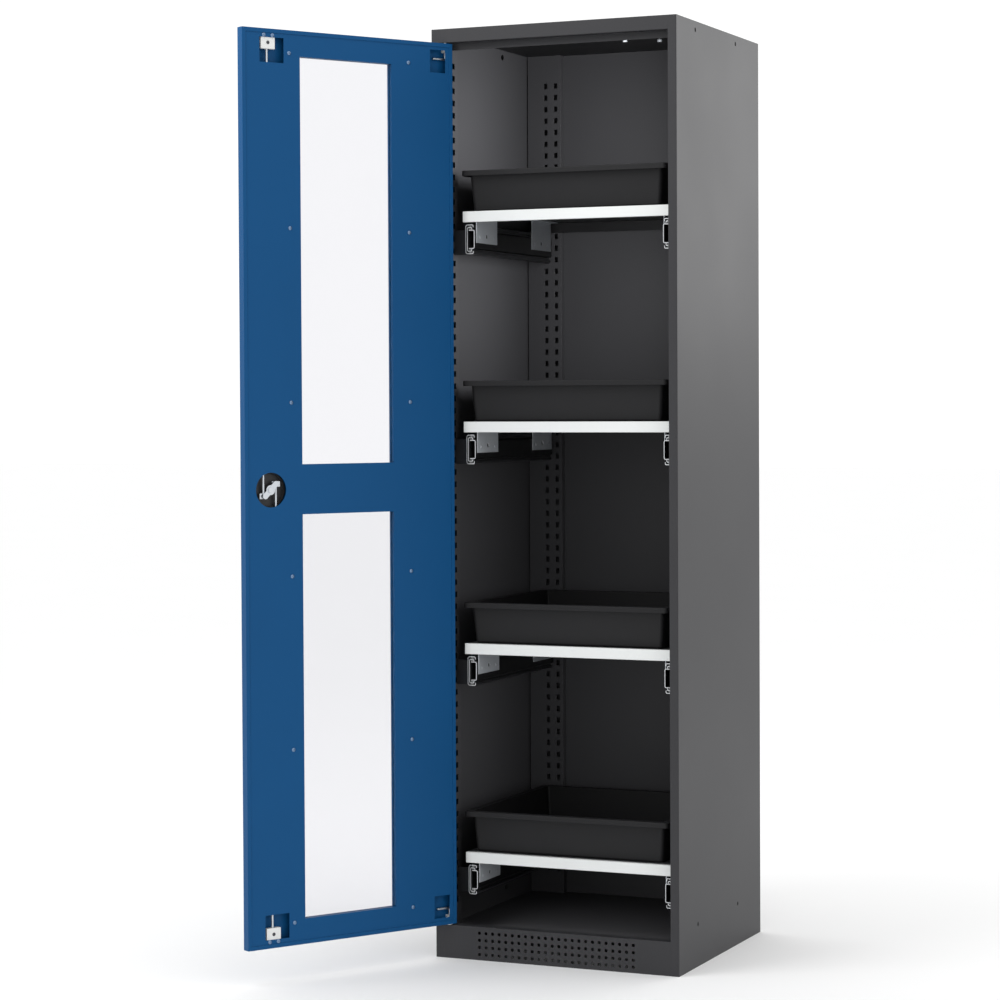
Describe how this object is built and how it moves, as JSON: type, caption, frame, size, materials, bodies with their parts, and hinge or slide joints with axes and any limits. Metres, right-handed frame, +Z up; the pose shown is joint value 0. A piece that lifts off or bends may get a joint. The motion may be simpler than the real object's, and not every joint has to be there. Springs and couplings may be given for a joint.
{
  "type": "chemical storage cabinet",
  "caption": "Tall steel storage cabinet for chemicals with a windowed, lockable hinged door and pull-out shelves that carry plastic spill trays.",
  "frame": {"origin": "middle of the carcass footprint, on the floor", "axes": "+X to the right seen from the front, +Y from the front to the back, +Z up"},
  "size_m": [0.7759, 0.9466, 1.95],
  "materials": {
    "carcass": "anthracite powder coat",
    "door_paint": "blue powder coat",
    "pane": "clear pane",
    "zinc": "bright zinc plate",
    "slide_steel": "black coated steel",
    "shelf_white": "near-white powder coat",
    "shelf_dark": "dark grey powder coat",
    "tray": "black moulded plastic",
    "handle": "black moulded plastic",
    "guide": "white moulded plastic",
    "barrel": "polished nickel plate"
  },
  "bodies": {
    "carcass": {"side_panel_left": "carcass", "side_panel_right": "carcass", "back_panel": "carcass", "roof_panel": "carcass", "floor_panel": "carcass", "header_rail": "carcass", "plinth_panel": "carcass", "front_post_left": "carcass", "front_post_right": "carcass", "rear_post_left": "carcass", "rear_post_right": "carcass", "roof_bolts": "zinc", "slide_carriers_1": "zinc", "slide_outer_1": "zinc", "slide_carriers_2": "zinc", "slide_outer_2": "zinc", "slide_carriers_3": "zinc", "slide_outer_3": "zinc", "slide_carriers_4": "zinc", "slide_outer_4": "zinc"},
    "door": {"door_skin": "door_paint", "door_inner_panel": "door_paint", "door_screws": "zinc", "window_pane_upper": "pane", "window_pane_lower": "pane", "handle_escutcheon": "handle", "rod_guides": "guide", "hinge_blocks": "guide", "hinge_washer": "guide"},
    "handle": {"door_handle": "handle", "lock_cam": "zinc"},
    "lock_barrel": {"lock_cylinder": "barrel"},
    "rod_upper": {"lock_rod_upper": "zinc"},
    "rod_lower": {"lock_rod_lower": "zinc"},
    "pin_upper": {"hinge_pin_upper": "zinc"},
    "pin_lower": {"hinge_pin_lower": "zinc"},
    "slide_1": {"slide_middle_1": "zinc"},
    "shelf_1": {"slide_inner_1": "slide_steel", "shelf_brackets_1": "zinc", "shelf_pan_1": "shelf_dark", "shelf_front_1": "shelf_white", "spill_tray_1": "tray"},
    "slide_2": {"slide_middle_2": "zinc"},
    "shelf_2": {"slide_inner_2": "slide_steel", "shelf_brackets_2": "zinc", "shelf_pan_2": "shelf_dark", "shelf_front_2": "shelf_white", "spill_tray_2": "tray"},
    "slide_3": {"slide_middle_3": "zinc"},
    "shelf_3": {"slide_inner_3": "slide_steel", "shelf_brackets_3": "zinc", "shelf_pan_3": "shelf_dark", "shelf_front_3": "shelf_white", "spill_tray_3": "tray"},
    "slide_4": {"slide_middle_4": "zinc"},
    "shelf_4": {"slide_inner_4": "slide_steel", "shelf_brackets_4": "zinc", "shelf_pan_4": "shelf_dark", "shelf_front_4": "shelf_white", "spill_tray_4": "tray"}
  },
  "joints": [
    {"name": "door_swing", "type": "hinge", "parent": "carcass", "child": "door", "pos_m": [-0.2435, -0.2545, 0], "axis": [0, 0, -1], "range_deg": [-121, 0]},
    {"name": "handle_turn", "type": "hinge", "parent": "door", "child": "handle", "pos_m": [-0.4678, -0.6278, 0.99575], "axis": [-0.8572, 0.515, 0], "range_deg": [0, 90]},
    {"name": "key_turn", "type": "hinge", "parent": "handle", "child": "lock_barrel", "pos_m": [-0.4678, -0.6278, 0.99575], "axis": [-0.8572, 0.515, 0], "range_deg": [0, 90]},
    {"name": "rod_upper_throw", "type": "slide", "parent": "door", "child": "rod_upper", "axis": [0, 0, 1], "range_m": [0, 0.0241]},
    {"name": "rod_lower_throw", "type": "slide", "parent": "door", "child": "rod_lower", "axis": [0, 0, -1], "range_m": [0, 0.0241]},
    {"name": "pin_upper_draw", "type": "slide", "parent": "door", "child": "pin_upper", "axis": [0, 0, 1], "range_m": [-0.012, 0], "stiffness_N_per_m": 300, "springref_m": 0.01},
    {"name": "pin_lower_draw", "type": "slide", "parent": "door", "child": "pin_lower", "axis": [0, 0, -1], "range_m": [-0.012, 0], "stiffness_N_per_m": 300, "springref_m": 0.01},
    {"name": "shelf_1_pull", "type": "slide", "parent": "carcass", "child": "shelf_1", "axis": [0, -1, 0], "range_m": [0, 0.4]},
    {"name": "slide_1_travel", "type": "slide", "parent": "carcass", "child": "slide_1", "axis": [0, -1, 0], "range_m": [0, 0.2]},
    {"name": "shelf_2_pull", "type": "slide", "parent": "carcass", "child": "shelf_2", "axis": [0, -1, 0], "range_m": [0, 0.4]},
    {"name": "slide_2_travel", "type": "slide", "parent": "carcass", "child": "slide_2", "axis": [0, -1, 0], "range_m": [0, 0.2]},
    {"name": "shelf_3_pull", "type": "slide", "parent": "carcass", "child": "shelf_3", "axis": [0, -1, 0], "range_m": [0, 0.4]},
    {"name": "slide_3_travel", "type": "slide", "parent": "carcass", "child": "slide_3", "axis": [0, -1, 0], "range_m": [0, 0.2]},
    {"name": "shelf_4_pull", "type": "slide", "parent": "carcass", "child": "shelf_4", "axis": [0, -1, 0], "range_m": [0, 0.4]},
    {"name": "slide_4_travel", "type": "slide", "parent": "carcass", "child": "slide_4", "axis": [0, -1, 0], "range_m": [0, 0.2]}
  ],
  "couplings": [
    {"joint": "rod_upper_throw", "follows": "handle_turn", "m_per_rad": 0.015304},
    {"joint": "rod_lower_throw", "follows": "handle_turn", "m_per_rad": 0.015304},
    {"joint": "slide_1_travel", "follows": "shelf_1_pull", "ratio": 0.5},
    {"joint": "slide_2_travel", "follows": "shelf_2_pull", "ratio": 0.5},
    {"joint": "slide_3_travel", "follows": "shelf_3_pull", "ratio": 0.5},
    {"joint": "slide_4_travel", "follows": "shelf_4_pull", "ratio": 0.5}
  ]
}
